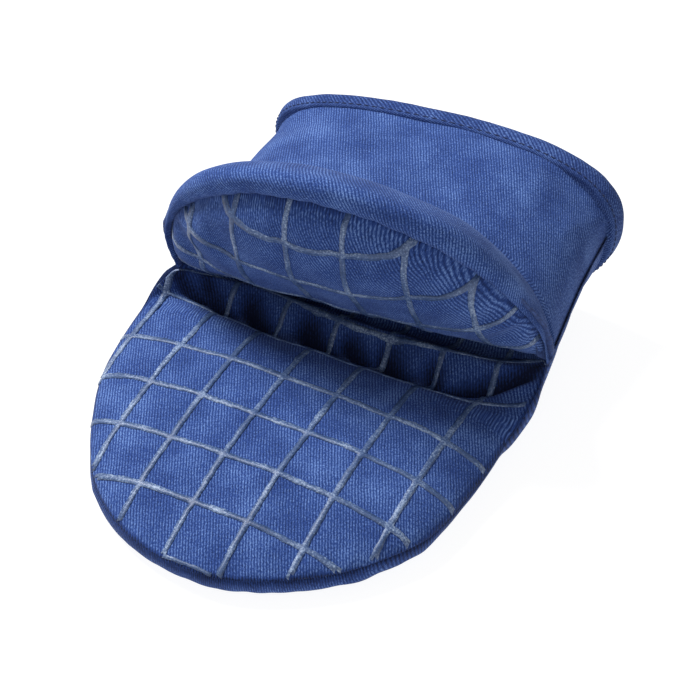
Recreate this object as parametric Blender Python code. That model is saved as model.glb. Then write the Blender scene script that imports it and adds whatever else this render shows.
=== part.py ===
"""A mini pinch oven mitt, lying on its back with its mouth open.

Metres, +Z up. The finger tip points along -Y and the cuff opens towards +Y. The origin is under the
middle of the mitt, on the surface it lies on. The finger jaw, the back and the cuff are one body; the
thumb jaw turns on the fold of the mouth, along X.

Every padded wall is three layers (twill shell, wadding, lining) that nest one inside the next with
SLACK between them. A layer is a flat sheet of cells in (across, row, depth) coordinates that one
shape function bends into place, so layers that share a wall share its seams.
"""
import math

import bmesh
import bpy

# overall sizes
LENGTH = 0.186              # finger tip to hem
WIDTH = 0.138               # across the finger jaw at its widest
CUFF_WIDTH = 0.140          # across the hem
CUFF_HEIGHT = 0.065         # the surface it lies on to the top of the cuff
PALM_HEIGHT = 0.023         # the surface it lies on to the finger palm

# the layers of a padded wall, outside to inside
TWILL = 0.0010
WADDING = 0.0030
LINING = 0.0008
SLACK = 0.0003              # left between every two pieces that touch

# finger jaw and back
WIDEST_FROM_TIP = 0.088     # the finger tip to where the jaw reaches its full width
CORNER_FROM_TIP = 0.110     # the finger tip to the corners of the mouth
TIP_POWER = 2.2             # 2 is a round tip, more is squarer
TIP_SEAM_HEIGHT = 0.0100
CORNER_HEIGHT = 0.0115      # height of the seam at the corners of the mouth
HEM_SEAM_HEIGHT = 0.036
BACK_FLAT = 0.57            # share of the half width that lies flat
PALM_FLAT = 0.43

# crease of the mouth
CREASE_FROM_TIP = 0.134     # the finger tip to the deepest line of the crease
CREASE_HEIGHT = 0.0175

# thumb jaw: a pocket that stands over the crease and leans to the fingers
THUMB_WIDTH = 0.132
THUMB_LENGTH = 0.083        # along the palm, from its foot to the rim
THUMB_STRAIGHT = 0.014      # the part of that length before the outline starts to round off
THUMB_FOOT_FROM_TIP = 0.118
THUMB_FOOT_HEIGHT = 0.030
THUMB_LEAN = math.radians(21)
THUMB_POWER = 2.1
FOOT_BULGE = 0.006          # the thumb palm stands this far in front of the rim seam at its foot
PALM_BULGE = 0.015          # and this far higher up
THUMB_DEPTH = 0.010         # the thumb shell stands this far behind the seam
THUMB_FLAT = 0.30

# the top of the cuff starts here, behind the thumb jaw and clear of its swing
CUFF_TOP_FROM_TIP = 0.150

# hem binding and threads
BINDING_WIDTH = 0.010
BINDING_THICK = 0.0012
STITCH_FROM_HEM = 0.008
THREAD = 0.0007

# grip print
PRINT_PITCH = 0.020
PRINT_WIDTH = 0.0022
PRINT_THICK = 0.0005
PRINT_FROM_TIP = 0.018      # the finger tip to the first line across
THUMB_PRINT_UP = 0.019      # the foot of the thumb jaw to its first line across

# cells in a sheet: across, round the tip, from there to the mouth corners, and on to the crease
ACROSS = 14
ROUND_ROWS = 6
SIDE_ROWS = 2
CREASE_ROWS = 3
THUMB_STRAIGHT_ROWS = 2

TIP_Y = -LENGTH / 2
HEM_Y = LENGTH / 2
WIDEST_Y = TIP_Y + WIDEST_FROM_TIP
CORNER_Y = TIP_Y + CORNER_FROM_TIP
CREASE_Y = TIP_Y + CREASE_FROM_TIP
RAW_EDGE_Y = HEM_Y - BINDING_THICK - SLACK
BINDING_Y = HEM_Y - BINDING_WIDTH
PINCH_Y = BINDING_Y - 2 * BINDING_THICK
PINCH = THREAD + BINDING_THICK + 2 * SLACK      # the binding and its stitches lie in this recess
WALL = TWILL + WADDING + LINING + 2 * SLACK
LAYERS = [("shell", 0.0, TWILL),
          ("wadding", TWILL + SLACK, TWILL + SLACK + WADDING),
          ("lining", WALL - LINING, WALL)]

FINISHES = {                # colour and roughness
    "twill": ((0.045, 0.105, 0.320), 0.90),
    "wadding": ((0.820, 0.800, 0.740), 0.95),
    "lining": ((0.100, 0.150, 0.300), 0.90),
    "silicone": ((0.330, 0.400, 0.520), 0.45),
    "binding": ((0.035, 0.085, 0.280), 0.85),
    "thread": ((0.020, 0.045, 0.160), 0.80),
}


def material(finish, name):
    """A new Principled material for one sub-part."""
    colour, roughness = FINISHES[finish]
    made = bpy.data.materials.new(name)
    made.use_nodes = True
    shader = made.node_tree.nodes["Principled BSDF"]
    shader.inputs["Base Color"].default_value = (*colour, 1.0)
    shader.inputs["Roughness"].default_value = roughness
    shader.inputs["Metallic"].default_value = 0.0
    return made


def new_object(name, data, finish, collection):
    """A named object with its own material, in a collection."""
    data.materials.append(material(finish, name))
    made = bpy.data.objects.new(name, data)
    collection.objects.link(made)
    return made


def mesh_object(bm, name, finish, collection):
    """Turn a bmesh into an object, faces outward and round where it is round."""
    bmesh.ops.recalc_face_normals(bm, faces=bm.faces)
    if bm.calc_volume(signed=True) < 0:         # a thin arch can come out turned inward
        bmesh.ops.reverse_faces(bm, faces=bm.faces)
    mesh = bpy.data.meshes.new(name)
    bm.to_mesh(mesh)
    bm.free()
    mesh.shade_smooth()
    mesh.set_sharp_from_angle(angle=math.radians(50))
    return new_object(name, mesh, finish, collection)


def between(low, high, share):
    return low + (high - low) * share


def ease(share):
    """0 to 1 with level ends."""
    share = min(max(share, 0.0), 1.0)
    return share * share * (3 - 2 * share)


def station(stations, row):
    """The place along the mitt of a row, whole or part, on a list of stations."""
    index = min(int(row), len(stations) - 2)
    return between(stations[index], stations[index + 1], row - index)


def dome_direction(across, forward, power):
    """Where a square's point lands in a round outline: the outline's point there, and the share of the way."""
    a = across * math.sqrt(1 - forward * forward / 2)
    b = forward * math.sqrt(1 - across * across / 2)
    share = math.hypot(a, b)
    if share < 1e-9:
        return 0.0, 0.0, 0.0
    a, b = a / share, b / share
    reach = (abs(a) ** power + abs(b) ** power) ** (-1 / power)
    return a * reach, b * reach, share


def shoulder(share, flat):
    """Radius and rise of a profile, flat in the middle with a quarter ellipse out to its edge."""
    if share <= flat:
        return share, 0.0
    angle = (share - flat) / (1 - flat) * math.pi / 2
    return flat + (1 - flat) * math.sin(angle), 1 - math.cos(angle)


def seam_height(y):
    """Height of the seam between the back and the palm, and behind the crease, of the side seam."""
    if y >= CORNER_Y:
        climb = (y - CREASE_Y) / (PINCH_Y - CREASE_Y)
        return between(CORNER_HEIGHT, HEM_SEAM_HEIGHT, min(max(climb, 0.0), 1.0))
    return between(TIP_SEAM_HEIGHT, CORNER_HEIGHT, ease((y - TIP_Y) / (CORNER_Y - TIP_Y)))


def half_width(y):
    """Half the width of the mitt at a station behind the round of the finger tip."""
    return between(WIDTH, CUFF_WIDTH, min(max((y - CREASE_Y) / (PINCH_Y - CREASE_Y), 0.0), 1.0)) / 2


def pinch(y):
    """How far the wall is pressed in under the binding."""
    return PINCH * min(max((y - PINCH_Y) / (BINDING_Y - PINCH_Y), 0.0), 1.0)


SIDE_STATIONS = [between(WIDEST_Y, CORNER_Y, row / SIDE_ROWS) for row in range(SIDE_ROWS + 1)]
BACK_STATIONS = SIDE_STATIONS + [CREASE_Y, (CREASE_Y + PINCH_Y) / 2, PINCH_Y, BINDING_Y, RAW_EDGE_Y]
CUFF_TOP_ROWS = 4
BACK_ROWS = ROUND_ROWS + len(BACK_STATIONS) - 1
PALM_ROWS = ROUND_ROWS + SIDE_ROWS + CREASE_ROWS
THUMB_ROWS = THUMB_STRAIGHT_ROWS + ROUND_ROWS


def tip_dome(row, across, depth, flat):
    """Plan position and rise of a cell corner in the round end of the finger side."""
    a, b, share = dome_direction(across, 1 - row / ROUND_ROWS, TIP_POWER)
    radius, rise = shoulder(share, flat)
    return a * radius * (WIDTH / 2 - depth), WIDEST_Y - b * radius * (WIDEST_FROM_TIP - depth), rise


def back_wall(row, across, depth):
    """The trough under the fingers and the hand, closed round the finger tip."""
    if row <= ROUND_ROWS:
        x, y, rise = tip_dome(row, across, depth, BACK_FLAT)
    else:
        y = station(BACK_STATIONS, row - ROUND_ROWS)
        depth += pinch(y)
        radius, rise = shoulder(abs(across), BACK_FLAT)
        x = math.copysign(radius * (half_width(y) - depth), across)
    return x, y, between(depth, seam_height(y) - SLACK / 2, rise)


def palm_wall(row, across, depth):
    """The finger palm, from the tip seam to the bottom of the crease."""
    if row <= ROUND_ROWS:
        x, y, rise = tip_dome(row, across, depth, PALM_FLAT)
    else:
        radius, rise = shoulder(abs(across), PALM_FLAT)
        y = station(SIDE_STATIONS, min(row - ROUND_ROWS, SIDE_ROWS))
        x = math.copysign(radius * (half_width(y) - depth), across)
        into_crease = max(0.0, row - ROUND_ROWS - SIDE_ROWS) / CREASE_ROWS
        y += into_crease * (1 - across ** 4) * (CREASE_Y - CORNER_Y)
    middle = between(PALM_HEIGHT, CREASE_HEIGHT, ease((y - WIDEST_Y) / (CREASE_Y - WIDEST_Y)))
    return x, y, between(middle - depth, seam_height(y) + SLACK / 2, rise)


def cuff_arch(y, across, depth):
    """The top half of the cuff at one station."""
    seam = seam_height(y) + SLACK / 2
    angle = across * math.pi / 2
    return (half_width(y) - depth) * math.sin(angle), y, between(seam, CUFF_HEIGHT - depth, math.cos(angle))


def cuff_top_wall(row, across, depth):
    """The top half of the cuff, from behind the thumb jaw to the hem."""
    side = ease((abs(across) - 0.6) / 0.4)
    front_y = between(TIP_Y + CUFF_TOP_FROM_TIP, CREASE_Y, side)
    y = station([front_y, (front_y + PINCH_Y) / 2, PINCH_Y, BINDING_Y, RAW_EDGE_Y], row)
    return cuff_arch(y, across, depth + pinch(y))


def thumb_dome(row, across, depth):
    """Place on the thumb jaw's flat pattern, above its straight part: across, up, and rise to the seam."""
    a, b, share = dome_direction(across, row / ROUND_ROWS, THUMB_POWER)
    radius, rise = shoulder(share, THUMB_FLAT)
    up = THUMB_STRAIGHT + b * radius * (THUMB_LENGTH - THUMB_STRAIGHT - depth)
    return a * radius * (THUMB_WIDTH / 2 - depth), up, rise


def stand_thumb(across, up, out):
    """Stand the flat pattern on its foot, leaning to the fingers; out is towards the fingers too."""
    lean_sin, lean_cos = math.sin(THUMB_LEAN), math.cos(THUMB_LEAN)
    y = TIP_Y + THUMB_FOOT_FROM_TIP - up * lean_sin - out * lean_cos
    return across, y, THUMB_FOOT_HEIGHT + up * lean_cos - out * lean_sin


def thumb_palm_wall(row, across, depth):
    """The padded face of the thumb jaw that looks at the fingers."""
    if row >= THUMB_STRAIGHT_ROWS:
        x, up, rise = thumb_dome(row - THUMB_STRAIGHT_ROWS, across, depth)
    else:
        radius, rise = shoulder(abs(across), THUMB_FLAT)
        x = math.copysign(radius * (THUMB_WIDTH / 2 - depth), across)
        up = THUMB_STRAIGHT * row / THUMB_STRAIGHT_ROWS
    bulge = between(FOOT_BULGE, PALM_BULGE, ease(up / (2 * THUMB_STRAIGHT)))
    return stand_thumb(x, up, between(bulge - depth, SLACK / 2, rise))


def thumb_back_wall(row, across, depth):
    """The outer side of the thumb jaw, which ends at the fold behind it."""
    x, up, rise = thumb_dome(row, across, depth)
    return stand_thumb(x, up, -between(THUMB_DEPTH - depth, SLACK / 2, rise))


def layer(name, finish, wall, rows, outer, inner, bare_rows=()):
    """One layer of a wall: a sheet of cells made a slab and bent into place by the wall's function.

    With bare_rows, the sheet leaves out those rows and the outermost column on each side.
    """
    bm = bmesh.new()
    bmesh.ops.create_grid(bm, x_segments=ACROSS, y_segments=rows, size=1.0)
    if bare_rows:
        side = 1 - 2 / ACROSS
        bare = [face for face in bm.faces if abs(face.calc_center_median().x) > side
                or int((face.calc_center_median().y + 1) / 2 * rows) in bare_rows]
        bmesh.ops.delete(bm, geom=bare, context="FACES")
    bmesh.ops.triangulate(bm, faces=bm.faces)       # so that every layer folds along the same lines
    bmesh.ops.solidify(bm, geom=bm.faces[:], thickness=1.0)
    lowest = min(vert.co.z for vert in bm.verts)
    for vert in bm.verts:
        row = (vert.co.y + 1) / 2 * rows
        vert.co = wall(row, vert.co.x, between(outer, inner, vert.co.z - lowest))
    return mesh_object(bm, name, finish, MITT)


def padded_wall(name, skin, wall, rows):
    """The three layers of one wall; skin is what its outer layer is called."""
    for kind, outer, inner in LAYERS:
        finish = "twill" if kind == "shell" else kind
        layer(f"{name}_{skin if kind == 'shell' else kind}", finish, wall, rows, outer, inner)


def print_cells(middles_across, middles_along, place):
    """Cutters for the bare cloth between the printed lines, one block for each cell."""
    bm = bmesh.new()
    for across in middles_across:
        for along in middles_along:
            cube = bmesh.ops.create_cube(bm, size=1.0)["verts"]
            for vert in cube:
                vert.co = place(across + vert.co.x * (PRINT_PITCH - PRINT_WIDTH),
                                along + vert.co.y * (PRINT_PITCH - PRINT_WIDTH), vert.co.z)
    cutter = mesh_object(bm, "print_cells", "silicone", CUTTERS)
    cutter.hide_render = True
    cutter.display_type = "WIRE"
    return cutter


def grip_print(name, wall, rows, tip_row, cells):
    """A skin of silicone on a palm, short of its seam, with the bare cells cut out of it."""
    made = layer(name, "silicone", wall, rows, -SLACK - PRINT_THICK, -SLACK, (tip_row,))
    cut = made.modifiers.new("cells", "BOOLEAN")
    cut.operation = "DIFFERENCE"
    cut.object = cells
    cut.use_self = True


def thread(name, points, closed=False):
    """A seam's thread: a fine cord along its points."""
    curve = bpy.data.curves.new(name, "CURVE")
    curve.dimensions = "3D"
    curve.bevel_depth = THREAD / 2
    curve.bevel_resolution = 0
    curve.use_fill_caps = True
    spline = curve.splines.new("POLY")
    spline.points.add(len(points) - 1)
    for target, point in zip(spline.points, points):
        target.co = (*point, 1.0)
    spline.use_cyclic_u = closed
    new_object(name, curve, "thread", MITT)


def hem_ring(turn, y, depth):
    """A point round the cuff at one station: the back from left to right, then the top to the left again."""
    if turn <= 1:
        across = 2 * turn - 1
        radius, rise = shoulder(abs(across), BACK_FLAT)
        x = math.copysign(radius * (half_width(y) - depth), across)
        return x, y, between(depth, seam_height(y), rise)
    return cuff_arch(y, 3 - 2 * turn, depth)


def binding():
    """The folded strip over the raw hem: a channel section carried round the cuff."""
    outside = THREAD + SLACK
    inside = PINCH + WALL + SLACK
    section = [(BINDING_Y, outside), (HEM_Y, outside), (HEM_Y, inside + BINDING_THICK),
               (BINDING_Y, inside + BINDING_THICK), (BINDING_Y, inside), (RAW_EDGE_Y + SLACK, inside),
               (RAW_EDGE_Y + SLACK, outside + BINDING_THICK), (BINDING_Y, outside + BINDING_THICK)]
    sides = len(section)
    bm = bmesh.new()
    bmesh.ops.create_grid(bm, x_segments=2 * ACROSS, y_segments=sides, size=1.0)
    for vert in bm.verts:
        y, depth = section[round((vert.co.y + 1) / 2 * sides) % sides]
        vert.co = hem_ring((vert.co.x + 1) % 2, y, depth)
    bmesh.ops.remove_doubles(bm, verts=bm.verts, dist=SLACK / 10)
    mesh_object(bm, "cuff_binding", "binding", MITT)


def seam_threads():
    """The threads inside the seams, clear of the lining, and the hem's stitching."""
    inside = WALL + 2 * SLACK + THREAD
    corner_row = ROUND_ROWS + SIDE_ROWS

    def seam_point(x, y):
        return x, y, seam_height(y)

    round_tip = [(row, -1.0) for row in range(corner_row, 0, -1)]
    round_tip += [(0, -1 + 2 * step / ACROSS) for step in range(ACROSS + 1)]
    round_tip += [(row, 1.0) for row in range(1, corner_row + 1)]
    thread("finger_seam_thread", [seam_point(*back_wall(row, across, inside)[:2]) for row, across in round_tip])

    for side, across in (("left", -1.0), ("right", 1.0)):
        rows = range(corner_row + 1, BACK_ROWS - 1)
        thread(f"{side}_side_seam_thread", [seam_point(*back_wall(row, across, inside)[:2]) for row in rows])

    over_thumb = [(row, -1.0) for row in range(0, ROUND_ROWS)]
    over_thumb += [(ROUND_ROWS, -1 + 2 * step / ACROSS) for step in range(ACROSS + 1)]
    over_thumb += [(row, 1.0) for row in range(ROUND_ROWS - 1, -1, -1)]
    points = [stand_thumb(*thumb_dome(row, across, inside)[:2], 0.0) for row, across in over_thumb]
    thread("thumb_seam_thread", points)

    turns = [2 * step / (2 * ACROSS) for step in range(2 * ACROSS)]
    hem = [hem_ring(turn, HEM_Y - STITCH_FROM_HEM, THREAD / 2) for turn in turns]
    thread("binding_stitching", hem, closed=True)


for old in list(bpy.data.objects):
    bpy.data.objects.remove(old, do_unlink=True)
MITT = bpy.data.collections.new("pinch_oven_mitt")
CUTTERS = bpy.data.collections.new("cutters")
bpy.context.scene.collection.children.link(MITT)
bpy.context.scene.collection.children.link(CUTTERS)

padded_wall("back", "shell", back_wall, BACK_ROWS)
padded_wall("finger_palm", "panel", palm_wall, PALM_ROWS)
padded_wall("cuff_top", "shell", cuff_top_wall, CUFF_TOP_ROWS)
padded_wall("thumb_palm", "panel", thumb_palm_wall, THUMB_ROWS)
padded_wall("thumb", "shell", thumb_back_wall, ROUND_ROWS)

line_count = int(WIDTH / PRINT_PITCH)
cells_across = [(index - line_count / 2) * PRINT_PITCH for index in range(-1, line_count + 2)]
cells_along = [TIP_Y + PRINT_FROM_TIP + (index - 0.5) * PRINT_PITCH for index in range(8)]
finger_cells = print_cells(cells_across, cells_along,
                           lambda x, y, z: (x, y, PALM_HEIGHT * (1 + 2 * z)))
grip_print("finger_grip_print", palm_wall, PALM_ROWS, 0, finger_cells)

cells_up = [THUMB_PRINT_UP + (index - 0.5) * PRINT_PITCH for index in range(5)]
thumb_cells = print_cells(cells_across, cells_up,
                          lambda x, up, out: stand_thumb(x, up, PALM_BULGE * (1 + 4 * out)))
grip_print("thumb_grip_print", thumb_palm_wall, THUMB_ROWS, THUMB_ROWS - 1, thumb_cells)

binding()
seam_threads()
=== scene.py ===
"""The looks of a mini pinch oven mitt: padded twill panels between sewn seams, a silicone grid on the palms
and a bound hem.

Shapes are worked out in millimetres in the mitt's own frame, +Y from the finger tip to the hem. Each panel
is a sheet of cells bent into place by its own function, which also gives each corner's place on the flat cloth.
"""

import bisect
import math

import bmesh
import bpy
import numpy as np
from mathutils import Matrix, Vector, noise
from mathutils.bvhtree import BVHTree
from mathutils.geometry import barycentric_transform


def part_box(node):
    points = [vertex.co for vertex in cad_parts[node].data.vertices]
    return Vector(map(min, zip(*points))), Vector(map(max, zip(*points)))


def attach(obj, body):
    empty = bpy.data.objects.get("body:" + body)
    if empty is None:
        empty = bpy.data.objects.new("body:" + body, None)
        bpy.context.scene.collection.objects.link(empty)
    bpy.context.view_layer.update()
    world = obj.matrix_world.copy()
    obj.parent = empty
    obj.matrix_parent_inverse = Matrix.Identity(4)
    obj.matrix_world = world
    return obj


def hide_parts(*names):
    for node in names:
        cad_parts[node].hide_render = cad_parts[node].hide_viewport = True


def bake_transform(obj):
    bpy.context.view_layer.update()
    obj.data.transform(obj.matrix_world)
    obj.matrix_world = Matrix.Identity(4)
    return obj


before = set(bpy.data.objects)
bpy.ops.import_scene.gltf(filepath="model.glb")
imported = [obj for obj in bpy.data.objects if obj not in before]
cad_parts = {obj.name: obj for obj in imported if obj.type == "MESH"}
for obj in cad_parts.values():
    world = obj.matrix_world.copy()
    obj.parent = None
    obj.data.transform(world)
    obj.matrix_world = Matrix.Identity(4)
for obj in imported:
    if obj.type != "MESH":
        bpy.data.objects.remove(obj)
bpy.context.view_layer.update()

MM = 0.001
SIM_UNIT = 0.01                 # panels settle at ten times their size, which the solver holds steadier

# finger jaw
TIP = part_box("back_shell")[0][1] / MM - 2.8     # along the mitt, finger tip
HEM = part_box("cuff_binding")[1][1] / MM         # and hem
WIDEST = -1.0                   # where the jaw reaches its full width
HALF_WIDTH = 70.5
# at places along the mitt: how far the worn jaw lies over to the left
LEFT_LEAN = [(-93, 0), (-74, 0.5), (-51, 1.6), (-39, 3.2), (-24, 4.6), (-1, 5.0), (8, 3), (20, 0)]
TIP_POWER = 2.2                 # how square the round of the finger tip is
# the same way: the height of the palm's middle, and of its edge
PALM_TOP = [(-93, 17), (-80, 20.5), (-50, 23.5), (-20, 24), (-5, 23.2), (4, 21), (11, 15.8), (17, 13.5),
            (23, 17.5), (27, 19)]
PALM_EDGE = [(-93, 10), (-30, 10.5), (0, 14), (14, 21), (27, 27)]
RIDGE = 27.0                    # along the mitt, the palm's last fold before the crease
CREASE = 37.0                   # and the crease, where the finger palm meets the thumb palm
# creases the folding has pressed into the palm: from, to, depth and half width
CREASES = [((-42, 20), (-32, 12), 6.5, 3.6), ((-20, 20), (-9, 13), 7.0, 3.8), ((-3, 20), (5, 15), 6.0, 3.0),
           ((11, 20), (20, 13), 6.5, 3.6), ((-59, 19), (-48, 13), 5.0, 3.0), ((29, 20), (33, 12), 5.0, 3.0),
           ((64, 28), (39, 15), 6.5, 2.6), ((-74, 14), (-58, 15), 5.0, 2.2)]

# thumb jaw: its rim seam is an ellipse in a plane that leans to the fingers
RIM_FOOT = (17.4, 35.0)         # along and height of the ellipse's middle
LEAN = math.atan(0.44)          # the plane's slant to the upright
SKEW = 0.10                     # the right side stands further back
RIM_HALF_WIDTH = 67.5
RIM_HEIGHT = 65.5
CORNER_DROP = 7.6               # the mouth corners lie this far below the ellipse's middle
CREASE_DROP = 28.0              # and the middle of the crease this far
# at heights up the plane: how far the padded thumb palm stands out of it
THUMB_BULGE = [(-28, -15), (-18, -11.5), (-7, -4.5), (5, 2.5), (14, 6.5), (32, 10), (54, 12.5), (66, 13)]

# rim roll, slope and cuff
ROLL_RADIUS = 4.6
ROLL_SLANT = (0.43, 0.90)       # sine and cosine of the roll's slant to the rim's plane
KNEE = 40.0                     # where the slope behind the roll meets the cuff, along the mitt
CUFF_TOP = 65.5
CUFF_END = HEM - 1.0            # the cloth stops inside the binding
CUFF_TILT = 0.07                # the worn cuff stands higher to the right
CUFF_HALF_WIDTH = 65.4
ARCH_POWER = 2.5                # how square the cuff's arch is

WALL = 3.2                      # padded wall as drawn
SEAM_SPAN = 60.0                # from a palm's seam to its middle

# hem binding and its stitches
BINDING_FOLD = HEM - 0.6        # the binding's own fold, along the mitt
STITCH_LINE = 6.0               # the stitches lie this far in from the hem
STITCH_LIFT = 2.35              # and this far above the cuff's cloth

# places on the flat cloth
RIM_REACH = 112.0               # half the length of the rim
BACK_REACH = 80.0               # half the girth of the back
CUFF_START = 38.0               # the shell's cloth is laid out from this far along the mitt
THUMB_FULLNESS = 1.04           # the thumb palm's cloth is this much wider than its rim
THUMB_MIDDLE = 147.0            # along the palm's cloth, the middle of the rim's ellipse

# grip print
PITCH = 20.0
LINE_WIDTH = 1.9
LINE_HEIGHT = 0.35


def follow(points, t):
    """Value at t on a smooth curve through (t, value) points, with no overshoot."""
    ts = [point[0] for point in points]
    vs = [point[1] for point in points]
    if t <= ts[0]:
        return vs[0]
    if t >= ts[-1]:
        return vs[-1]
    rises = [(vs[i + 1] - vs[i]) / (ts[i + 1] - ts[i]) for i in range(len(ts) - 1)]

    def slope(i):
        if i in (0, len(ts) - 1):
            return rises[0 if i == 0 else -1]
        low, high = rises[i - 1], rises[i]
        return 0.0 if low * high <= 0 else 2 * low * high / (low + high)

    i = bisect.bisect_right(ts, t) - 1
    step = ts[i + 1] - ts[i]
    s = (t - ts[i]) / step
    return ((1 + 2 * s) * (1 - s) ** 2 * vs[i] + s * (1 - s) ** 2 * step * slope(i)
            + s * s * (3 - 2 * s) * vs[i + 1] + s * s * (s - 1) * step * slope(i + 1))


def between(low, high, share):
    return low + (high - low) * share


def ease(share):
    share = min(max(share, 0.0), 1.0)
    return share * share * (3 - 2 * share)


def round_end(across, forward, power):
    """Where a square's point lands in a round outline: the outline's point and the share of the way to it."""
    a = across * math.sqrt(1 - forward * forward / 2)
    b = forward * math.sqrt(1 - across * across / 2)
    share = math.hypot(a, b)
    if share < 1e-9:
        return 0.0, 0.0, 0.0
    a, b = a / share, b / share
    reach = (abs(a) ** power + abs(b) ** power) ** (-1 / power)
    return a * reach, b * reach, share


def mouth_corner(across):
    """How far along the mitt the mouth's corner lies on the side that across points to."""
    return RIM_FOOT[0] + CORNER_DROP * math.sin(LEAN) + SKEW * RIM_HALF_WIDTH * across


def seam_height(y, across):
    """Height of the seam round the finger jaw and back along the side of the cuff."""
    corner = mouth_corner(math.copysign(1, across))
    if y < corner:
        lifted = 2.5 * max(0.0, -across) * ease((y + 85) / 40) * (1 - ease((y - 5) / 18))
        return follow(PALM_EDGE, y if y < 0 else y * RIDGE / corner) + lifted
    return follow([(corner, PALM_EDGE[-1][1]), (corner + 15, 31), (62, 38), (93, 43)], y)


def lie(y):
    """How far the finger jaw lies to the left at a station."""
    return -follow(LEFT_LEAN, y)


def slant(x, y):
    """How far the outline is drawn back on the right of the finger tip."""
    return 4.5 * ease(x / 40) * ease((-40 - y) / 30)


def crease_bow(x):
    """How far the cloth near the crease is drawn to the tip at the sides."""
    return 5 * (x / 50) ** 2


def crown(share, power=3.0, root=0.55):
    """1 over the middle of a padded panel, falling steeply to 0 at its seam."""
    return max(0.0, 1 - share ** power) ** root


def pucker(from_seam, along, depth, seed):
    """Little gathers that run in from a seam."""
    wander = noise.noise(Vector((along * 0.05, seed, 0.0)))
    wave = math.sin(along * 0.95 + 5.0 * wander)
    strength = 0.6 + 0.6 * noise.noise(Vector((along * 0.13, seed, 7.0)))
    return depth * wave * strength * math.exp(-from_seam / 3.2)


def crease_depth(x, y):
    """How far the palm is pressed in by its creases."""
    deep = 0.0
    for (x0, y0), (x1, y1), depth, wide in CREASES:
        share = ((x - x0) * (x1 - x0) + (y - y0) * (y1 - y0)) / ((x1 - x0) ** 2 + (y1 - y0) ** 2)
        share = min(max(share, 0.0), 1.0)
        far = math.hypot(x - between(x0, x1, share), y - between(y0, y1, share))
        deep = max(deep, depth * math.exp(-(far / wide) ** 2))
    return deep


def ripple(u, v, size, height, seed):
    """Slow unevenness of padding."""
    return height * noise.noise(Vector((u / size, v / size, seed)))


# ---- the palm of the finger jaw, and the palm of the thumb jaw ----

def rim_point(x, up, out):
    """A point given in the leaning plane of the rim: across, up the plane, and out towards the fingers."""
    y = RIM_FOOT[0] - up * math.sin(LEAN) - out * math.cos(LEAN) + SKEW * x
    return Vector((x, y, RIM_FOOT[1] + up * math.cos(LEAN) - out * math.sin(LEAN)))


def print_droop(x):
    """How far the printed lines across the thumb palm curve up to the sides."""
    return 0.003 * x * x + 0.04 * x


def thumb_palm_place(across, row):
    """From the crease at row 0 up to the rim seam at row 1."""
    straight = 0.3
    if row < straight:
        k = 1 - row / straight
        x = across * (RIM_HALF_WIDTH - 0.5 * k)
        up = -between(CREASE_DROP, CORNER_DROP, across ** 4) * k
        share = abs(across)
    else:
        a, b, share = round_end(across, (row - straight) / (1 - straight), 2.0)
        x, up = a * share * RIM_HALF_WIDTH, b * share * RIM_HEIGHT
    u, v = x * THUMB_FULLNESS, THUMB_MIDDLE + up - print_droop(x)
    rise = crown(share, 4.0, 0.5)
    out = follow(THUMB_BULGE, up) * rise
    out += rise * ripple(x, up, 17, 1.3, 3.0)
    from_seam = (1 - share) * SEAM_SPAN
    angle = math.degrees(math.atan2(x, up + 20))
    out += pucker(from_seam, angle * 1.1, 0.8, 2.0) * min(1.0, from_seam / 1.2)
    if row > 0.02:
        out -= 4.5 * math.exp(-from_seam / 1.8)
    return rim_point(x, up, out), (u, v)


def crease_point(across):
    return thumb_palm_place(across, 0.0)[0]


def finger_palm_place(across, row):
    """From the tip seam at row 0 to the crease at row 1."""
    t = between(TIP, CREASE, row)
    if t < WIDEST:
        a, b, share = round_end(across, (WIDEST - t) / (WIDEST - TIP), TIP_POWER)
        x, y = a * share * HALF_WIDTH, WIDEST - b * share * (WIDEST - TIP)
    else:
        x, share = across * between(HALF_WIDTH, RIM_HALF_WIDTH, ease((t - 5) / 22)), abs(across)
        side_y = t * mouth_corner(math.copysign(1, across)) / RIDGE if t > 0 else t
        y = between(t, side_y, across ** 6)
    flat = (x + lie(y), y + slant(x, y) if t < WIDEST else t - crease_bow(x) * ease((t - WIDEST) / 10))
    edge = seam_height(y if t < WIDEST else side_y, x / HALF_WIDTH)
    rise = crown(share)
    z = between(edge, follow(PALM_TOP, min(t, RIDGE) if t > WIDEST else y), rise)
    z += rise * ripple(x, y, 19, 1.6, 1.0)
    from_seam = (1 - share) * SEAM_SPAN
    if t < RIDGE:
        z = max(z - crease_depth(x + lie(y), y) * min(1.0, from_seam / 2.5), min(z, 7.0))
    angle = math.degrees(math.atan2(x, WIDEST - y + 30))
    z += pucker(from_seam, angle * 1.3, 0.7, 1.0) * min(1.0, from_seam / 1.2)
    spot = Vector((x + lie(y), y + slant(x, y), z))
    if t > RIDGE:
        down = (t - RIDGE) / (CREASE - RIDGE)
        start = Vector((spot.x, y - (t - RIDGE) * 0.4, z))
        spot = start.lerp(crease_point(across), ease(down) if abs(across) < 0.999 else 1.0)
        spot.z -= 5.0 * math.sin(math.pi * ease(down)) * (1 - across ** 4)
    return spot, flat


# ---- the thumb-side shell: rolled over the rim, down behind it and back to the hem ----

def cuff_lean(y):
    """How far the cuff lies to the left at a station."""
    return -0.8 * ease((y - 20) / 30)


def cuff_half_width(y):
    return between(RIM_HALF_WIDTH, CUFF_HALF_WIDTH, ease((y - 20) / (HEM - 20)))


def arch(y, across):
    """The top of the cuff at one station."""
    x = math.sin(across * math.pi / 2)
    edge = seam_height(y, across)
    top = CUFF_TOP + CUFF_TILT * x * CUFF_HALF_WIDTH * ease((y - 30) / 50)
    z = between(edge, top, max(0.0, 1 - abs(x) ** ARCH_POWER) ** (1 / ARCH_POWER))
    return Vector((x * cuff_half_width(y) + cuff_lean(y), y, z))


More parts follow.
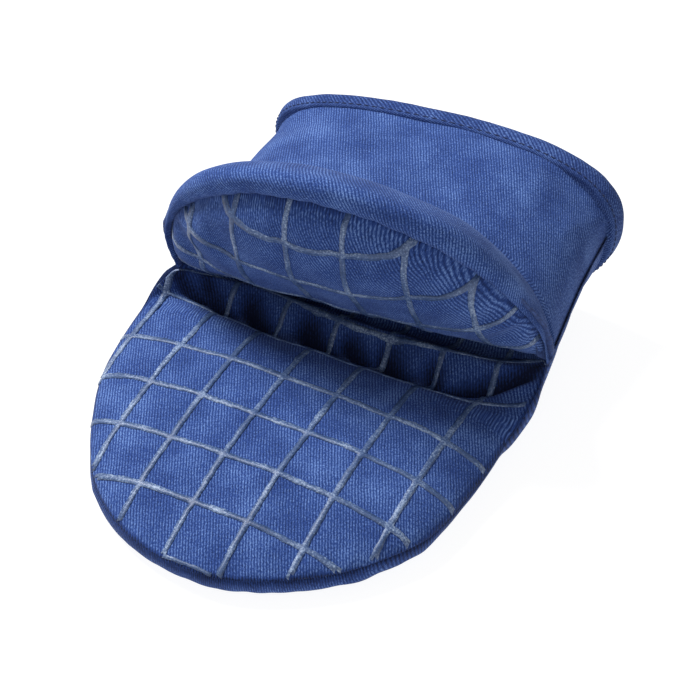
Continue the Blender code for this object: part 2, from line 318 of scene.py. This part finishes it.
ROLL_ROWS, SLOPE_ROWS, CUFF_ROWS = 12, 26, 26
ARCH_LENGTH = [(0.0, 0.0)]      # from the middle of the cuff's top, round to a share of the way to its seam
for part in range(1, 31):
    reach = (arch(60, part / 30) - arch(60, (part - 1) / 30)).length
    ARCH_LENGTH.append((part / 30, ARCH_LENGTH[-1][1] + reach))


def upper_place(across, row):
    """From the rim seam at row 0 to the hem at row 1."""
    rows = ROLL_ROWS + SLOPE_ROWS + CUFF_ROWS
    u = math.copysign(follow(ARCH_LENGTH, abs(across)), across)
    index = row * rows
    angle = across * (math.pi / 2 + math.asin(CORNER_DROP / RIM_HEIGHT))
    x, up = RIM_HALF_WIDTH * math.sin(angle), RIM_HEIGHT * math.cos(angle)
    radius = between(ROLL_RADIUS, 2.6, ease((abs(across) - 0.35) / 0.65))
    flare = between(1.0, 0.35, ease((abs(across) - 0.3) / 0.5))
    along = math.degrees(angle)

    def roll(turn, puff=0.0):
        """Round the roll: its seam lies on the lower front of it."""
        size = radius + puff
        back, rise = -size * math.cos(turn), size * math.sin(turn)
        sine, cosine = ROLL_SLANT
        outward = flare * (sine * radius + sine * back + cosine * rise)
        behind = -cosine * radius - cosine * back + sine * rise
        return rim_point(x + outward * math.sin(angle), up + outward * math.cos(angle), behind)

    if index <= ROLL_ROWS:
        turn = math.radians(between(-50, 160, index / ROLL_ROWS))
        from_seam = max(0.0, turn) * radius
        spot = roll(turn, pucker(from_seam, along * 1.1, 0.5, 4.0) + ripple(along, turn * 9, 14, 0.5, 5.0))
        return spot, (across * RIM_REACH, -75 + from_seam)
    # the side edges are tucked under the back's
    tucked = Vector((-0.7 * across, 0, -1.2)) if abs(across) > 0.999 else Vector((0, 0, 0))
    edge_y = between(mouth_corner(across) + 5, KNEE, math.cos(across * math.pi / 2))
    if index <= ROLL_ROWS + SLOPE_ROWS:
        share = (index - ROLL_ROWS) / SLOPE_ROWS
        start, before = roll(math.radians(160)), roll(math.radians(150))
        end, after = arch(edge_y, across), arch(edge_y + 1, across)
        reach = (end - start).length * 0.55
        leave = start + (start - before).normalized() * reach
        arrive = end - (after - end).normalized() * reach
        s, r = share, 1 - share
        spot = start * r ** 3 + leave * 3 * r * r * s + arrive * 3 * r * s * s + end * s ** 3
        fold = 1.5 * math.sin(2 * math.pi * (1.9 * share + 0.15 * across)) * ease((across - 0.5) / 0.25)
        swell = (fold + ripple(x, share * 60, 16, 1.4, 6.0)) * math.sin(math.pi * share)
        spot += Vector((0.8 * swell * math.sin(angle), 0.0, swell)) + tucked * ease(share * 4)
        return spot, (between(across * RIM_REACH, u, share), between(-60, KNEE - CUFF_START, share))
    share = (index - ROLL_ROWS - SLOPE_ROWS) / CUFF_ROWS
    y = between(edge_y, CUFF_END, share)
    spot = arch(y, across) + tucked
    soft = math.sin(math.pi * share) * (1 - across ** 8)
    spot.z += soft * ripple(x, y, 22, 1.8, 8.0)
    return spot, (u, y - CUFF_START)


def back_place(across, row):
    """The side it lies on, from the tip seam at row 0 to the hem at row 1."""
    t = between(TIP, CUFF_END, row)
    if t < WIDEST:
        a, b, share = round_end(across, (WIDEST - t) / (WIDEST - TIP), TIP_POWER)
        x, y = a * share, b * share
        seam = seam_height(WIDEST - y * (WIDEST - TIP), x)
    else:
        share = between(abs(across), abs(math.sin(across * math.pi / 2)), ease(t / 40))
        x, y = math.copysign(share, across), t
        seam = seam_height(t, across)
    power = follow([(-93, 5.0), (-10, 5.0), (40, 2.8), (80, 2.0)], t)
    height = 1 - max(0.0, 1 - share ** power) ** (1 / power)
    swell = 1 + 0.075 * height * (1 - height) * (1 - ease((t - 10) / 50))
    if t < WIDEST:
        x, y = x * HALF_WIDTH * swell, WIDEST - y * (WIDEST - TIP) * swell
    else:
        x *= between(HALF_WIDTH, cuff_half_width(t), ease((t - 5) / 25)) * swell
    floor_gap = 0.2 + 3.4 * ease((t - HEM + 14) / 8)
    z = between(floor_gap, seam, height)
    return Vector((x + lie(y) + cuff_lean(y), y + slant(x, y), z)), (across * BACK_REACH, t)


def lay_flat(bm, flat):
    """Keep each corner's place on the flat cloth, in metres, as its UVs."""
    pattern = bm.loops.layers.uv.new("flat")
    for face in bm.faces:
        for loop in face.loops:
            loop[pattern].uv = flat[loop.vert]


def new_piece(name, bm, *materials):
    """Make a finished bmesh a smooth piece of the scene."""
    mesh = bpy.data.meshes.new(name)
    bm.to_mesh(mesh)
    bm.free()
    mesh.shade_smooth()
    for material in materials:
        mesh.materials.append(material)
    made = bpy.data.objects.new(name, mesh)
    bpy.context.scene.collection.objects.link(made)
    return made


def cell_sheet(name, columns, rows, place, face_down=False):
    """A sheet of cells bent into place, with its flat pattern kept as UVs in metres."""
    bm = bmesh.new()
    bmesh.ops.create_grid(bm, x_segments=columns, y_segments=rows, size=1.0)
    flat = {}
    for vert in bm.verts:
        spot, pattern = place(vert.co.x, (vert.co.y + 1) / 2)
        flat[vert] = Vector(pattern) * MM
        vert.co = spot * SIM_UNIT
    lay_flat(bm, flat)
    if face_down:
        bmesh.ops.reverse_faces(bm, faces=bm.faces)
    return new_piece(name, bm)


def thin_edges(cloth, pressed=lambda x, y: 0.0, rings=3):
    """Padding weights, pressed thin along the seams, and painted shade in the seam furrows and palm creases."""
    bm = bmesh.new()
    bm.from_mesh(cloth.data)
    near = {vert for vert in bm.verts if vert.is_boundary}
    rank = {vert.index: 0 for vert in near}
    for ring in range(1, rings):
        near = {edge.other_vert(vert) for vert in near for edge in vert.link_edges} - near
        for vert in near:
            rank.setdefault(vert.index, ring)
    # painted shade: the seam_shade attribute darkens the colour on the seam edge and in the crease furrows,
    # standing in for their shadow
    shade = cloth.data.attributes.new("seam_shade", "FLOAT", "POINT")
    shade.data.foreach_set("value", [max(0.5 * vert.is_boundary, pressed(vert.co.x / MM, vert.co.y / MM))
                                     for vert in bm.verts])
    group = cloth.vertex_groups.new(name="padding")
    for vert in bm.verts:
        group.add([vert.index], rank.get(vert.index, rings) / rings, "REPLACE")
    bm.free()


def settle(cloth, growth, pressure, most, frames=24):
    """Let the cloth relax between its sewn edges, then keep the shape it took."""
    bm = bmesh.new()
    bm.from_mesh(cloth.data)
    sewn = [vert.index for vert in bm.verts if vert.is_boundary]
    bm.free()
    count = len(cloth.data.vertices)
    start = np.empty(count * 3)
    cloth.data.vertices.foreach_get("co", start)
    start = start.reshape(-1, 3)
    cloth.vertex_groups.new(name="sewn").add(sewn, 1.0, "REPLACE")
    modifier = cloth.modifiers.new("cloth", "CLOTH")
    fabric = modifier.settings
    fabric.quality = 6
    fabric.mass = 0.4
    fabric.tension_stiffness = fabric.compression_stiffness = 20
    fabric.shear_stiffness = 8
    fabric.bending_stiffness = 6
    fabric.vertex_group_mass = "sewn"
    fabric.shrink_min = -growth
    fabric.use_pressure = True
    fabric.uniform_pressure_force = pressure
    fabric.effector_weights.gravity = 0
    modifier.collision_settings.use_collision = False
    modifier.point_cache.frame_end = frames
    for number in range(1, frames + 1):
        bpy.context.scene.frame_set(number)
    seen = cloth.evaluated_get(bpy.context.evaluated_depsgraph_get())
    moved = np.empty(count * 3)
    seen.data.vertices.foreach_get("co", moved)
    cloth.modifiers.remove(modifier)
    cloth.vertex_groups.remove(cloth.vertex_groups["sewn"])
    bpy.context.scene.frame_set(1)
    step = moved.reshape(-1, 3) - start
    far = np.linalg.norm(step, axis=1, keepdims=True)
    cap = most * SIM_UNIT
    start = start + step * (cap * np.tanh(far / cap) / np.maximum(far, 1e-9))
    cloth.data.vertices.foreach_set("co", start.ravel())
    cloth.data.transform(Matrix.Scale(MM / SIM_UNIT, 4))
    cloth.data.update()


def baked(piece):
    """Turn a piece's modifiers into its mesh."""
    seen = piece.evaluated_get(bpy.context.evaluated_depsgraph_get())
    mesh = bpy.data.meshes.new_from_object(seen)
    piece.modifiers.clear()
    piece.data = mesh


def smooth(piece, levels):
    modifier = piece.modifiers.new("smooth", "SUBSURF")
    modifier.levels = modifier.render_levels = levels
    baked(piece)


def pad(piece, outside, inside, thick=WALL):
    """Give a finished face its padding and lining."""
    piece.data.materials.append(outside)
    piece.data.materials.append(inside)
    wall = piece.modifiers.new("wall", "SOLIDIFY")
    wall.thickness = thick * MM
    wall.offset = -1
    wall.vertex_group = "padding"
    wall.thickness_vertex_group = 0.04
    wall.material_offset = wall.material_offset_rim = 1
    baked(piece)


# ---- materials ----

def linear(code):
    """A hex sRGB colour as linear values."""
    parts = [int(code[i:i + 2], 16) / 255 for i in (1, 3, 5)]
    return (*[part / 12.92 if part <= 0.04045 else ((part + 0.055) / 1.055) ** 2.4 for part in parts], 1.0)


def add(tree, kind, inputs=(), **settings):
    """A shader node with its settings; inputs are (socket, value or another node's output)."""
    made = tree.nodes.new("ShaderNode" + kind)
    for name, value in settings.items():
        setattr(made, name, value)
    for socket, value in inputs:
        if isinstance(value, bpy.types.NodeSocket):
            tree.links.new(value, made.inputs[socket])
        else:
            made.inputs[socket].default_value = value
    return made


def new_material(name):
    made = bpy.data.materials.new(name)
    made.use_nodes = True
    return made, made.node_tree, made.node_tree.nodes["Principled BSDF"]


def blend_stops(tree, factor, stops):
    """A colour ramp through (place, hex colour) stops."""
    ramp = add(tree, "ValToRGB", [(0, factor)])
    elements = ramp.color_ramp.elements
    while len(elements) < len(stops):
        elements.new(0.5)
    for element, (place, code) in zip(elements, stops):
        element.position = place
        element.color = linear(code)
    return ramp.outputs[0]


def twill(name, dark, mid, light, lean=-27.6, rib=0.96):
    """Cotton twill: diagonal ribs a millimetre apart, yarn grain along them, and the wash's slow fading."""
    made, tree, shader = new_material(name)
    place = add(tree, "UVMap", uv_map="flat").outputs[0]
    ribs = add(tree, "Mapping", [(0, place), ("Rotation", (0, 0, math.radians(lean))),
                                 ("Scale", (1 / (rib * MM),) * 3)])
    wander = add(tree, "TexNoise", [("Vector", ribs.outputs[0]), ("Scale", 0.12), ("Detail", 3.0)])
    split = add(tree, "SeparateXYZ", [(0, ribs.outputs[0])])
    shift = add(tree, "Math", [(0, wander.outputs[0]), (1, 0.9), (2, split.outputs[0])],
                operation="MULTIPLY_ADD")
    turn = add(tree, "Math", [(0, shift.outputs[0]), (1, math.pi)], operation="MULTIPLY")
    wave = add(tree, "Math", [(0, turn.outputs[0])], operation="SINE")
    ridge = add(tree, "Math", [(0, wave.outputs[0])], operation="ABSOLUTE")
    stretched = add(tree, "Mapping", [(0, ribs.outputs[0]), ("Scale", (2.2, 1.4, 1.0))])
    yarn = add(tree, "TexNoise", [("Vector", stretched.outputs[0]), ("Scale", 1.0), ("Detail", 3.0),
                                  ("Roughness", 0.75)])
    height = add(tree, "Math", [(0, ridge.outputs[0]), (1, 0.26), (2, yarn.outputs[0])],
                 operation="MULTIPLY_ADD")
    fade = add(tree, "TexNoise", [("Vector", place), ("Scale", 55.0), ("Detail", 4.0), ("Roughness", 0.6)])
    tone = add(tree, "Math", [(0, fade.outputs[0]), (1, 0.4), (2, height.outputs[0])],
               operation="MULTIPLY_ADD")
    # painted shade: darker along the seams and in the palm's crease furrows, from the seam_shade attribute
    seam = add(tree, "Attribute", attribute_name="seam_shade")
    shaded = add(tree, "Math", [(0, seam.outputs["Fac"]), (1, -0.5), (2, tone.outputs[0])],
                 operation="MULTIPLY_ADD")
    even = add(tree, "Math", [(0, shaded.outputs[0]), (1, 0.75)], operation="MULTIPLY")
    colour = blend_stops(tree, even.outputs[0], [(0.38, dark), (0.66, mid), (0.88, light)])
    bump = add(tree, "Bump", [("Strength", 0.55), ("Distance", 0.35 * MM), ("Height", height.outputs[0])])
    tree.links.new(colour, shader.inputs["Base Color"])
    tree.links.new(bump.outputs[0], shader.inputs["Normal"])
    shader.inputs["Roughness"].default_value = 0.92
    shader.inputs["Specular IOR Level"].default_value = 0.2
    shader.inputs["Sheen Weight"].default_value = 0.08
    shader.inputs["Sheen Roughness"].default_value = 0.6
    shader.inputs["Sheen Tint"].default_value = linear("#9fb4dc")
    return made


def silicone():
    """The printed grid: grey-blue, speckled with the weave that shows through it and with painted glints; a
    little shiny.
    """
    made, tree, shader = new_material("printed_silicone")
    place = add(tree, "TexCoord").outputs["Object"]
    speck_and_glint = add(tree, "TexNoise", [("Vector", place), ("Scale", 1500.0), ("Detail", 3.0), ("Roughness", 0.8)])
    slow = add(tree, "TexNoise", [("Vector", place), ("Scale", 90.0), ("Detail", 3.0)])
    tone = add(tree, "Math", [(0, slow.outputs[0]), (1, 0.6), (2, speck_and_glint.outputs[0])],
               operation="MULTIPLY_ADD")
    # the brightest specks are painted glints; the darker speckle is the silicone's own tone
    colour = blend_stops(tree, tone.outputs[0], [(0.50, "#1c2e52"), (0.82, "#41577f"), (1.0, "#93a5c0")])
    bump = add(tree, "Bump", [("Strength", 0.5), ("Distance", 0.25 * MM), ("Height", speck_and_glint.outputs[0])])
    tree.links.new(colour, shader.inputs["Base Color"])
    tree.links.new(bump.outputs[0], shader.inputs["Normal"])
    shader.inputs["Roughness"].default_value = 0.42
    shader.inputs["Specular IOR Level"].default_value = 0.45
    return made


def plain_cloth(name, code, other, scale):
    """A plain weave or a sewing thread, seen only small."""
    made, tree, shader = new_material(name)
    place = add(tree, "TexCoord").outputs["Object"]
    grain = add(tree, "TexNoise", [("Vector", place), ("Scale", scale), ("Detail", 3.0)])
    colour = blend_stops(tree, grain.outputs[0], [(0.35, code), (0.65, other)])
    bump = add(tree, "Bump", [("Strength", 0.4), ("Distance", 0.2 * MM), ("Height", grain.outputs[0])])
    tree.links.new(colour, shader.inputs["Base Color"])
    tree.links.new(bump.outputs[0], shader.inputs["Normal"])
    shader.inputs["Roughness"].default_value = 0.9
    return made


shell_twill = twill("shell_twill", "#050d2a", "#243e7c", "#7291c9")
palm_twill = twill("palm_twill", "#050d2a", "#243e7c", "#7291c9")
binding_twill = twill("binding_twill", "#050d2a", "#203770", "#6683bb", lean=50)
lining_weave = plain_cloth("lining_weave", "#1d2f5c", "#334a80", 900.0)
print_silicone = silicone()
sewing_thread = plain_cloth("sewing_thread", "#0c1838", "#1c2f5c", 2500.0)

# ---- panels ----

finger_palm = cell_sheet("finger_palm_cloth", 84, 80, finger_palm_place)
thumb_palm = cell_sheet("thumb_palm_cloth", 72, 60, thumb_palm_place)
upper = cell_sheet("upper_cloth", 96, ROLL_ROWS + SLOPE_ROWS + CUFF_ROWS, upper_place)
back = cell_sheet("back_cloth", 64, 80, back_place, face_down=True)

settle(finger_palm, growth=0.03, pressure=2.0, most=1.6)
settle(thumb_palm, growth=0.03, pressure=2.0, most=1.6)
settle(upper, growth=0.02, pressure=1.0, most=1.0)
settle(back, growth=0.02, pressure=1.0, most=1.0)
for vert in back.data.vertices:
    vert.co.z = max(vert.co.z, 0.0)

# the deeper the crease, the more painted shade its furrow gets
thin_edges(finger_palm, pressed=lambda x, y: 0.9 * min(1.0, crease_depth(x, y) / 6))
for cloth in (thumb_palm, upper, back):
    thin_edges(cloth)
for cloth in (finger_palm, thumb_palm, upper, back):
    smooth(cloth, 1)


# ---- grip print ----

def flat_map(cloth):
    """A finder from a spot on the flat cloth to the worn one."""
    mesh = cloth.data
    mesh.calc_loop_triangles()
    pattern = mesh.uv_layers["flat"].data
    flat = [None] * len(mesh.vertices)
    for loop in mesh.loops:
        flat[loop.vertex_index] = Vector((*pattern[loop.index].uv, 0.0))
    corners = [tuple(triangle.vertices) for triangle in mesh.loop_triangles]
    tree = BVHTree.FromPolygons(flat, corners)

    def lift(u, v, height):
        spot, _, index, _ = tree.find_nearest(Vector((u, v, 0.0)))
        ends = corners[index]
        worn = [mesh.vertices[end].co for end in ends]
        normals = [mesh.vertices[end].normal for end in ends]
        base = [flat[end] for end in ends]
        up = barycentric_transform(spot, *base, *normals).normalized()
        return barycentric_transform(spot, *base, *worn) + up * height

    return lift


def stations(lines, low, high, step):
    """Grid stations that include both edges of every line."""
    found = {low, high}
    for line in lines:
        found.update((line - LINE_WIDTH / 2, line, line + LINE_WIDTH / 2))
    found = sorted(value for value in found if low <= value <= high)
    filled = []
    for first, second in zip(found, found[1:]):
        parts = max(1, round((second - first) / step))
        filled += [between(first, second, part / parts) for part in range(parts)]
    return filled + [found[-1]]


def grip_print(name, cloth, across_lines, along_lines, inside):
    """The printed grid, cut from one flat sheet and laid on the finished cloth."""
    us = stations(across_lines, min(across_lines) - 18, max(across_lines) + 18, 1.5)
    vs = stations(along_lines, min(along_lines) - 12, max(along_lines) + 12, 1.5)
    bm = bmesh.new()
    bmesh.ops.create_grid(bm, x_segments=len(us) - 1, y_segments=len(vs) - 1, size=1.0)
    for vert in bm.verts:
        column = round((vert.co.x + 1) / 2 * (len(us) - 1))
        line = round((vert.co.y + 1) / 2 * (len(vs) - 1))
        vert.co = (us[column], vs[line], 0)

    def printed(face):
        u, v, _ = face.calc_center_median()
        on_line = (min(abs(u - line) for line in across_lines) < LINE_WIDTH / 2
                   or min(abs(v - line) for line in along_lines) < LINE_WIDTH / 2)
        return on_line and inside(u, v)

    bmesh.ops.delete(bm, geom=[face for face in bm.faces if not printed(face)], context="FACES")
    bmesh.ops.solidify(bm, geom=bm.faces[:], thickness=1.0)
    low = min(vert.co.z for vert in bm.verts)
    lift = flat_map(cloth)
    for vert in bm.verts:
        u, v, top = vert.co.x, vert.co.y, vert.co.z - low > 0.5
        u += 0.35 * noise.noise(Vector((u * 0.4, v * 0.4, 11.0)))
        v += 0.35 * noise.noise(Vector((u * 0.4, v * 0.4, 17.0)))
        height = LINE_HEIGHT * (1 + 0.5 * noise.noise(Vector((u * 0.5, v * 0.5, 5.0)))) if top else -0.25
        vert.co = lift(u * MM, v * MM, height * MM)
    bmesh.ops.recalc_face_normals(bm, faces=bm.faces)
    return new_piece(name, bm, print_silicone)


def on_finger_palm(u, v):
    x = u - lie(v)
    reach = max(0.0, (WIDEST - v + slant(x, v)) / (WIDEST - TIP))
    inside = (abs(x) / HALF_WIDTH) ** TIP_POWER + reach ** TIP_POWER < 0.985
    return inside and v < CREASE - crease_bow(x) - 0.5


def on_thumb_palm(u, v):
    x = u / THUMB_FULLNESS
    up = v - THUMB_MIDDLE + print_droop(x)
    lowest = -between(CREASE_DROP, CORNER_DROP, (x / RIM_HALF_WIDTH) ** 4)
    return (x / RIM_HALF_WIDTH) ** 2 + (max(0.0, up) / RIM_HEIGHT) ** 2 < 0.985 and up > lowest + 0.5


across_lines = [(index - 3.5) * PITCH for index in range(8)]
finger_print = grip_print("finger_palm_print", finger_palm, across_lines,
                          [-95 + PITCH * index for index in range(7)], on_finger_palm)
thumb_print = grip_print("thumb_palm_print", thumb_palm,
                         [line * THUMB_FULLNESS for line in across_lines[1:-1]],
                         [140 + PITCH * index for index in range(4)], on_thumb_palm)

pad(finger_palm, palm_twill, lining_weave)
pad(thumb_palm, palm_twill, lining_weave)
pad(upper, shell_twill, lining_weave)
pad(back, shell_twill, lining_weave)


# ---- hem binding ----

def hem_spot(turn, y, lift):
    """A point on the hem, round the cuff from the left seam under the back and over the top."""
    def ring(t):
        t %= 2.0
        if t <= 1:
            spot = back_place(2 * t - 1, (y - TIP) / (CUFF_END - TIP))[0]
            return Vector((spot.x, y, spot.z))
        return arch(y, 3 - 2 * t)
    spot = ring(turn)
    ahead, behind = ring(turn + 0.004), ring(turn - 0.004)
    out = Vector((0, 1, 0)).cross(ahead - behind).normalized()
    return spot + out * lift


RING = 150
# the binding's section: in from its fold, and out from the cuff's cloth
PROFILE = [(-7.0, 0.2), (-7.15, 1.5), (-6.7, 2.2), (-5.9, 2.2), (-4.0, 2.9), (-2.0, 3.2), (-0.6, 2.6),
           (0.3, 1.0), (0.4, -1.0), (-0.2, -2.8), (-2.0, -4.0), (-5.0, -4.2), (-7.0, -4.0), (-7.0, -2.2)]


def binding_share(turn):
    """How much wider the hand-turned binding is on the right of the cuff than on the left."""
    return 1 + 0.25 * max(0.0, -math.cos(math.pi * turn))


def binding_mesh():
    """The strip folded over the hem, as a rounded section carried round the cuff."""
    sides = len(PROFILE)
    bm = bmesh.new()
    bmesh.ops.create_grid(bm, x_segments=RING, y_segments=sides, size=1.0)
    flat = {}
    for vert in bm.verts:
        turn, part = (vert.co.x + 1), round((vert.co.y + 1) / 2 * sides)
        back_from_hem, lift = PROFILE[part % sides]
        wave = 0.35 * noise.noise(Vector((turn * 14, 0.5, 3.0)))
        wave += 0.2 * noise.noise(Vector((turn * 45, 1.5, 3.0)))
        flat[vert] = Vector((turn * 160, part * 1.6)) * MM
        y = BINDING_FOLD + back_from_hem * binding_share(turn) + wave
        vert.co = hem_spot(turn, y, lift + 0.3 * wave) * MM
    lay_flat(bm, flat)
    bmesh.ops.remove_doubles(bm, verts=bm.verts, dist=0.02 * MM)
    bmesh.ops.recalc_face_normals(bm, faces=bm.faces)
    made = new_piece("hem_binding", bm, binding_twill)
    smooth(made, 1)
    return made


binding = binding_mesh()


def stitches():
    """Stitches along the binding's fold edge."""
    bm = bmesh.new()
    count = 118
    for index in range(count):
        first, second = (hem_spot(turn, BINDING_FOLD - STITCH_LINE * binding_share(turn), STITCH_LIFT) * MM
                         for turn in (2 * (index + 0.12) / count, 2 * (index + 0.86) / count))
        along = second - first
        turn = along.to_track_quat("Z", "Y").to_matrix().to_4x4()
        made = bmesh.ops.create_uvsphere(bm, u_segments=6, v_segments=4, radius=1.0)["verts"]
        size = Matrix.Diagonal((0.28 * MM, 0.28 * MM, along.length / 2, 1.0))
        bmesh.ops.transform(bm, verts=made, matrix=Matrix.Translation((first + second) / 2) @ turn @ size)
    return new_piece("hem_stitching", bm, sewing_thread)


stitching = stitches()

# ---- how each piece moves, and the drawn parts are hidden ----

for piece in (thumb_palm, thumb_print, upper):
    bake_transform(piece)
for piece in (finger_palm, finger_print, back, binding, stitching):
    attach(piece, "finger_jaw")

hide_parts("back_shell", "back_wadding", "back_lining", "finger_seam_thread",
            "left_side_seam_thread", "right_side_seam_thread")
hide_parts("finger_palm_panel", "finger_palm_wadding", "finger_palm_lining")
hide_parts("thumb_palm_panel", "thumb_palm_wadding", "thumb_palm_lining")
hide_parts("thumb_shell", "thumb_wadding", "thumb_lining", "cuff_top_shell", "cuff_top_wadding",
            "cuff_top_lining", "thumb_seam_thread")
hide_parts("cuff_binding")
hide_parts("binding_stitching")
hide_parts("finger_grip_print")
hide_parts("thumb_grip_print")

# ---- floor, light and camera ----

paint, tree, shader = new_material("pale_floor")
shader.inputs["Base Color"].default_value = (0.2, 0.2, 0.2, 1)
shader.inputs["Roughness"].default_value = 0.9
shader.inputs["Emission Color"].default_value = (1, 1, 1, 1)
shader.inputs["Emission Strength"].default_value = 0.9
bm = bmesh.new()
bmesh.ops.create_grid(bm, x_segments=1, y_segments=1, size=3.0)
new_piece("floor", bm, paint)

world = bpy.data.worlds.new("soft_white")
bpy.context.scene.world = world
world.use_nodes = True
world.node_tree.nodes["Background"].inputs[0].default_value = (1, 1, 1, 1)
world.node_tree.nodes["Background"].inputs[1].default_value = 0.36


def soft_light(name, place, size, power):
    """An area light that points at the mitt."""
    data = bpy.data.lights.new(name, "AREA")
    data.shape = "DISK"
    data.size = size
    data.energy = power
    made = bpy.data.objects.new(name, data)
    made.location = place
    made.rotation_euler = (Vector((0, 0, 0.03)) - Vector(place)).to_track_quat("-Z", "Y").to_euler()
    bpy.context.scene.collection.objects.link(made)


soft_light("key", (-0.7, 0.1, 1.1), 0.5, 24)
soft_light("fill", (0.5, -0.9, 0.8), 0.8, 3)

AZIMUTH, ELEVATION, DISTANCE = math.radians(27.6), math.radians(40.9), 0.8
target = Vector((0.0014, 0.0113, 0.020))
toward = Vector((math.sin(AZIMUTH) * math.cos(ELEVATION), -math.cos(AZIMUTH) * math.cos(ELEVATION),
                 math.sin(ELEVATION)))
data = bpy.data.cameras.new("camera")
data.sensor_width = 36.0
data.lens = 120.3
camera = bpy.data.objects.new("camera", data)
camera.location = target + toward * DISTANCE
camera.rotation_euler = toward.to_track_quat("Z", "Y").to_euler()
bpy.context.scene.collection.objects.link(camera)
bpy.context.scene.camera = camera
bpy.context.scene.view_settings.view_transform = "Standard"
